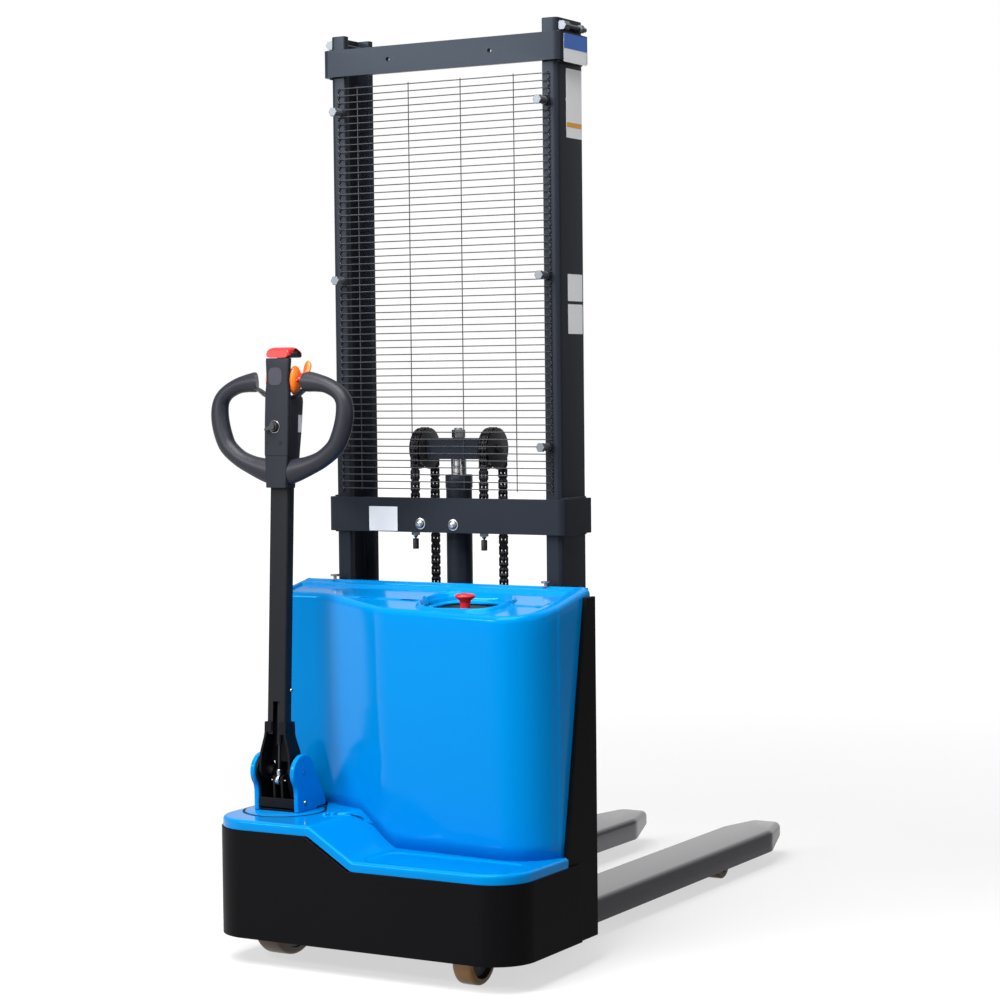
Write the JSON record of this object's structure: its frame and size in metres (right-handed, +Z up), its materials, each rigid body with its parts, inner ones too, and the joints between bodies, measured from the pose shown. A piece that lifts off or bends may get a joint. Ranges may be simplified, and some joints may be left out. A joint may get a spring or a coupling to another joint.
{
  "type": "electric walk-behind stacker",
  "caption": "Walk-behind electric stacker with a single-stage mast, wire guard, two box forks, blue battery hood and an offset steering tiller.",
  "frame": {"origin": "on the floor under the middle of the whole machine's bounding box", "axes": "+Z up, +Y towards the fork tips, +X to the right of an operator who stands at the tiller and faces the mast"},
  "size_m": [0.8719, 1.743, 2.09],
  "materials": {
    "mast_paint": "satin",
    "black_paint": "satin",
    "zinc_wire": "satin",
    "blue_plastic": "gloss",
    "black_plastic": "textured",
    "red_plastic": "satin",
    "orange_plastic": "satin",
    "fork_paint": "satin",
    "bare_steel": "brushed",
    "chrome_rod": "polished",
    "chain_steel": "oiled",
    "cast_black": "satin",
    "amber_tread": "satin",
    "blue_paint": "gloss",
    "battery_case": "matte"
  },
  "bodies": {
    "chassis": {"mast_rail_left": "mast_paint", "mast_rail_right": "mast_paint", "top_strap": "mast_paint", "mid_strap": "mast_paint", "mesh_guard": "zinc_wire", "foot_beam": "mast_paint", "bulkhead": "black_paint", "floor_pan": "black_paint", "caster_well": "black_paint", "side_plate_left": "black_paint", "side_plate_right": "black_paint", "skirt": "black_paint", "deck_cover": "blue_plastic", "hood": "blue_plastic", "stop_tray": "black_plastic", "stop_button": "red_plastic", "battery": "battery_case", "pump_unit": "black_paint", "drive_carrier": "black_paint", "support_leg_left": "fork_paint", "support_leg_right": "fork_paint", "lift_tube": "mast_paint", "anchor_rods": "bare_steel", "front_chains": "chain_steel", "caster_plate": "bare_steel"},
    "lifting_rod": {"lift_rod": "chrome_rod", "crosshead": "mast_paint", "chain_wraps": "chain_steel"},
    "chain_wheel_l": {"chain_wheel_left": "bare_steel"},
    "chain_wheel_r": {"chain_wheel_right": "bare_steel"},
    "fork_carriage": {"carriage": "fork_paint", "guide_rollers": "bare_steel", "fork_left": "fork_paint", "fork_right": "fork_paint", "rear_chains": "chain_steel"},
    "steering_unit": {"drive_unit": "cast_black", "tiller_base": "cast_black", "tiller_cheeks": "blue_paint", "tiller_pins": "bare_steel"},
    "drive_wheel": {"drive_tyre": "amber_tread", "drive_hub": "cast_black"},
    "tiller": {"tiller_yoke": "cast_black", "tiller_arm": "black_paint", "head_housing": "black_plastic", "handle_loops": "black_plastic", "belly_button": "red_plastic", "thumb_butterfly": "orange_plastic"},
    "gas_spring_tube": {"spring_tube": "black_paint"},
    "gas_spring_rod": {"spring_rod": "bare_steel"},
    "caster_swivel": {"caster_fork": "bare_steel"},
    "caster_roller": {"caster_wheel": "amber_tread"},
    "roller_l": {"load_roller_left": "amber_tread"},
    "roller_r": {"load_roller_right": "amber_tread"}
  },
  "joints": [
    {"name": "mast_lift", "type": "slide", "parent": "chassis", "child": "fork_carriage", "axis": [0, 0, 1], "range_m": [0, 1.51], "deforming": ["rear_chains"]},
    {"name": "rod_lift", "type": "slide", "parent": "chassis", "child": "lifting_rod", "axis": [0, 0, 1], "range_m": [0, 0.755], "deforming": ["front_chains"]},
    {"name": "chain_wheel_left_spin", "type": "hinge", "parent": "lifting_rod", "child": "chain_wheel_l", "pos_m": [-0.0485, -0.4085, 1.136], "axis": [1, 0, 0], "continuous": true},
    {"name": "chain_wheel_right_spin", "type": "hinge", "parent": "lifting_rod", "child": "chain_wheel_r", "pos_m": [0.1335, -0.4085, 1.136], "axis": [1, 0, 0], "continuous": true},
    {"name": "steering", "type": "hinge", "parent": "chassis", "child": "steering_unit", "pos_m": [-0.2435, -0.7135, 0.2], "axis": [0, 0, 1], "range_deg": [-90, 70]},
    {"name": "drive_wheel_spin", "type": "hinge", "parent": "steering_unit", "child": "drive_wheel", "pos_m": [-0.2435, -0.7135, 0.093], "axis": [1, 0, 0], "continuous": true},
    {"name": "tiller_tilt", "type": "hinge", "parent": "steering_unit", "child": "tiller", "pos_m": [-0.2435, -0.7215, 0.415], "axis": [1, 0, 0], "range_deg": [0, 80]},
    {"name": "gas_spring_swing", "type": "hinge", "parent": "tiller", "child": "gas_spring_tube", "pos_m": [-0.2435, -0.72289, 0.64031], "axis": [1, 0, 0], "range_deg": [-3.2, 0]},
    {"name": "gas_spring_stroke", "type": "slide", "parent": "gas_spring_tube", "child": "gas_spring_rod", "axis": [0, 0.0471, 0.9989], "range_m": [0, 0.0278]},
    {"name": "caster_swivel_turn", "type": "hinge", "parent": "chassis", "child": "caster_swivel", "pos_m": [0.2885, -0.7535, 0.13], "axis": [0, 0, 1], "continuous": true},
    {"name": "caster_wheel_spin", "type": "hinge", "parent": "caster_swivel", "child": "caster_roller", "pos_m": [0.2885, -0.7805, 0.0575], "axis": [1, 0, 0], "continuous": true},
    {"name": "load_roller_left_spin", "type": "hinge", "parent": "chassis", "child": "roller_l", "pos_m": [-0.1585, 0.5125, 0.039], "axis": [1, 0, 0], "continuous": true},
    {"name": "load_roller_right_spin", "type": "hinge", "parent": "chassis", "child": "roller_r", "pos_m": [0.2435, 0.5125, 0.039], "axis": [1, 0, 0], "continuous": true}
  ],
  "couplings": [
    {"joint": "rod_lift", "follows": "mast_lift", "ratio": 0.5},
    {"joint": "gas_spring_swing", "follows": "tiller_tilt", "ratio": -0.04},
    {"joint": "gas_spring_stroke", "follows": "tiller_tilt", "m_per_rad": 0.019905}
  ]
}
